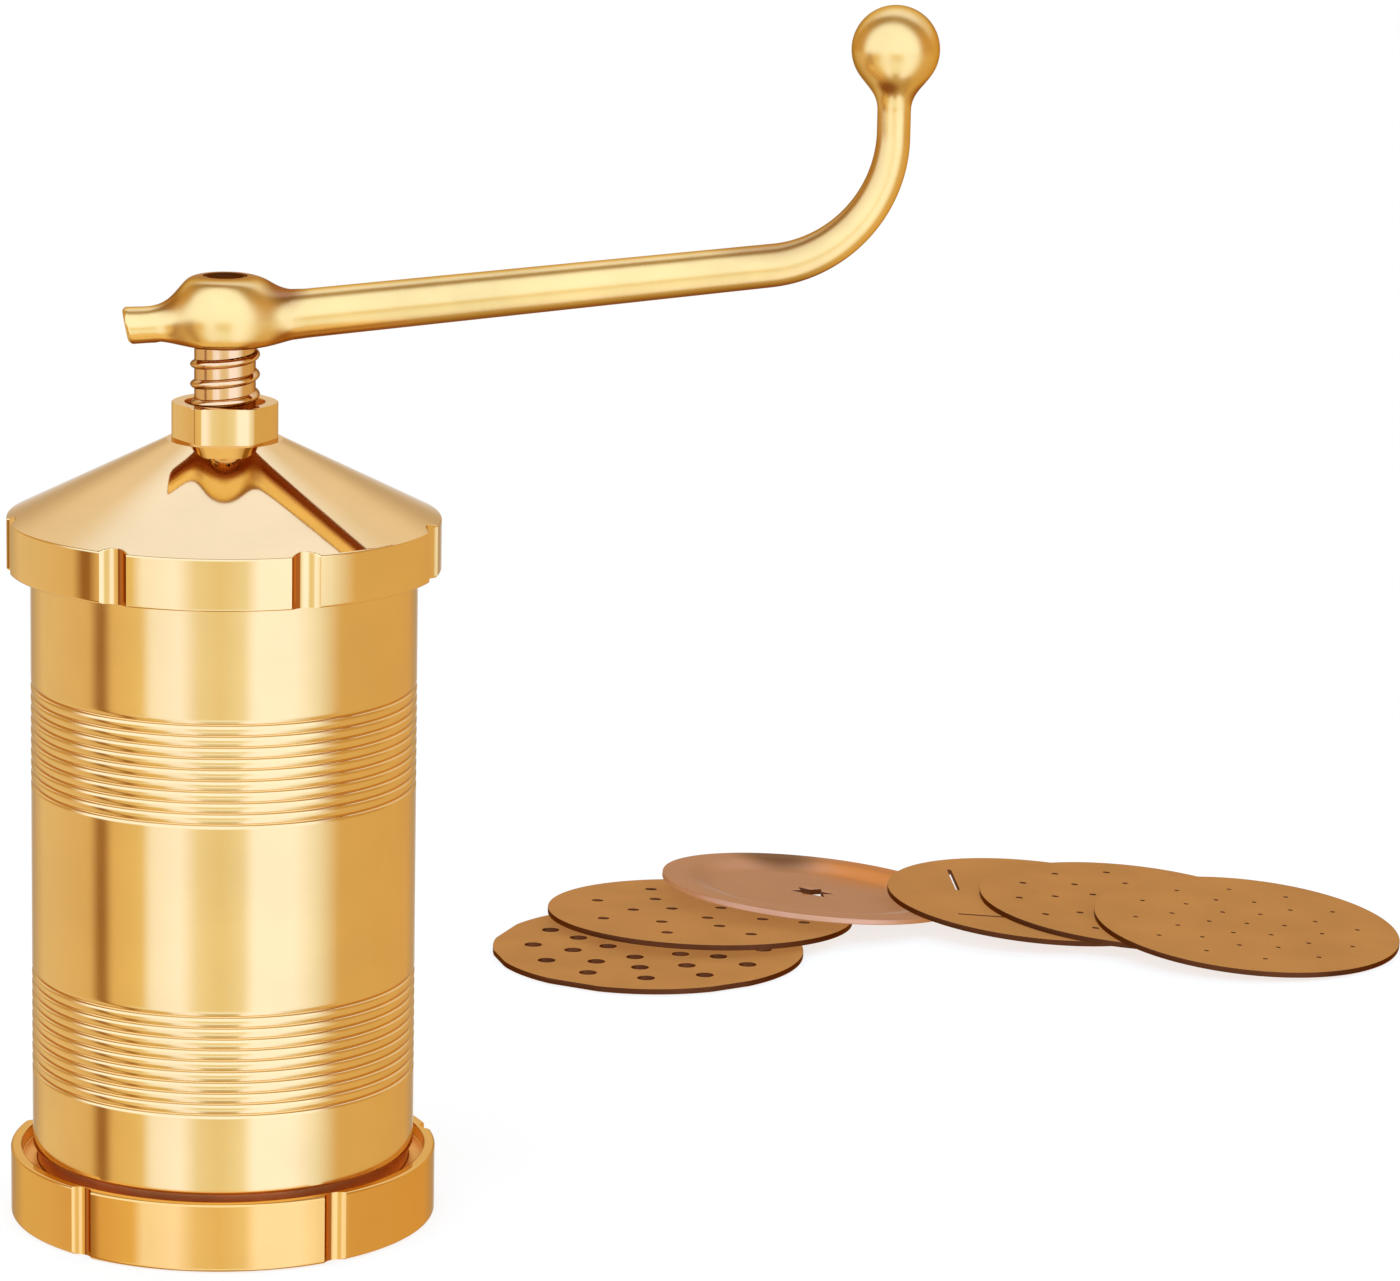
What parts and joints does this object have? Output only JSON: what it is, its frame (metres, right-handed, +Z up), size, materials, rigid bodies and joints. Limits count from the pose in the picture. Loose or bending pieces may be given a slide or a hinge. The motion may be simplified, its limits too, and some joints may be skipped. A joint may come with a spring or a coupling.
{
  "type": "sevai maker",
  "caption": "Hand-cranked brass noodle press: screw and crank drive a plunger down a barrel and push dough through a die in the base ring, with loose dies beside it.",
  "frame": {"origin": "on the screw's axis, at the underside of the base ring, which is the mouth of the outlet", "axes": "+Z up along the screw, +X along the crank's arm at rest, the loose dies lie towards +X and +Y"},
  "size_m": [0.2934, 0.2849, 0.2226],
  "materials": {
    "turned_brass": "polished",
    "cast_brass": "polished casting",
    "screw_brass": "polished, machined thread",
    "die_brass": "matt sheet",
    "star_die_brass": "satin pressed sheet"
  },
  "bodies": {
    "base": {"base_ring": "turned_brass"},
    "fitted_die": {"die_fitted": "die_brass"},
    "barrel": {"barrel": "turned_brass"},
    "cap": {"top_cap": "turned_brass"},
    "plunger": {"plunger_disc": "turned_brass"},
    "crank": {"screw_spindle": "screw_brass", "crank_handle": "cast_brass", "plunger_washer": "screw_brass", "plunger_nut": "screw_brass"},
    "large_die": {"die_large_holes": "die_brass"},
    "medium_die": {"die_medium_holes": "die_brass"},
    "star_die": {"die_star": "star_die_brass"},
    "slot_die": {"die_slots": "die_brass"},
    "small_die": {"die_small_holes": "die_brass"},
    "fine_die": {"die_fine_holes": "die_brass"}
  },
  "joints": [
    {"name": "fitted_die_lift", "type": "slide", "parent": "base", "child": "fitted_die", "axis": [0, 0, 1], "range_m": [0, 0.015]},
    {"name": "barrel_lift", "type": "slide", "parent": "fitted_die", "child": "barrel", "axis": [0, 0, 1], "range_m": [0, 0.03]},
    {"name": "cap_lift", "type": "slide", "parent": "barrel", "child": "cap", "axis": [0, 0, 1], "range_m": [0, 0.13]},
    {"name": "plunger_travel", "type": "slide", "parent": "cap", "child": "plunger", "axis": [0, 0, 1], "range_m": [-0.00901, 0.10441]},
    {"name": "crank_turn", "type": "hinge", "parent": "plunger", "child": "crank", "pos_m": [0, 0, 0.155], "axis": [0, 0, 1], "range_deg": [-900, 10440]},
    {"name": "large_die_lift", "type": "slide", "parent": "base", "child": "large_die", "axis": [0, 0, 1], "range_m": [0, 0.03]},
    {"name": "medium_die_lift", "type": "slide", "parent": "large_die", "child": "medium_die", "axis": [0, 0, 1], "range_m": [0, 0.03]},
    {"name": "star_die_lift", "type": "slide", "parent": "medium_die", "child": "star_die", "axis": [0, 0, 1], "range_m": [0, 0.03]},
    {"name": "slot_die_lift", "type": "slide", "parent": "star_die", "child": "slot_die", "axis": [0, 0, 1], "range_m": [0, 0.03]},
    {"name": "small_die_lift", "type": "slide", "parent": "slot_die", "child": "small_die", "axis": [0, 0, 1], "range_m": [0, 0.03]},
    {"name": "fine_die_lift", "type": "slide", "parent": "small_die", "child": "fine_die", "axis": [0, 0, 1], "range_m": [0, 0.03]}
  ],
  "couplings": [
    {"joint": "plunger_travel", "follows": "crank_turn", "m_per_rad": 0.00057296}
  ]
}
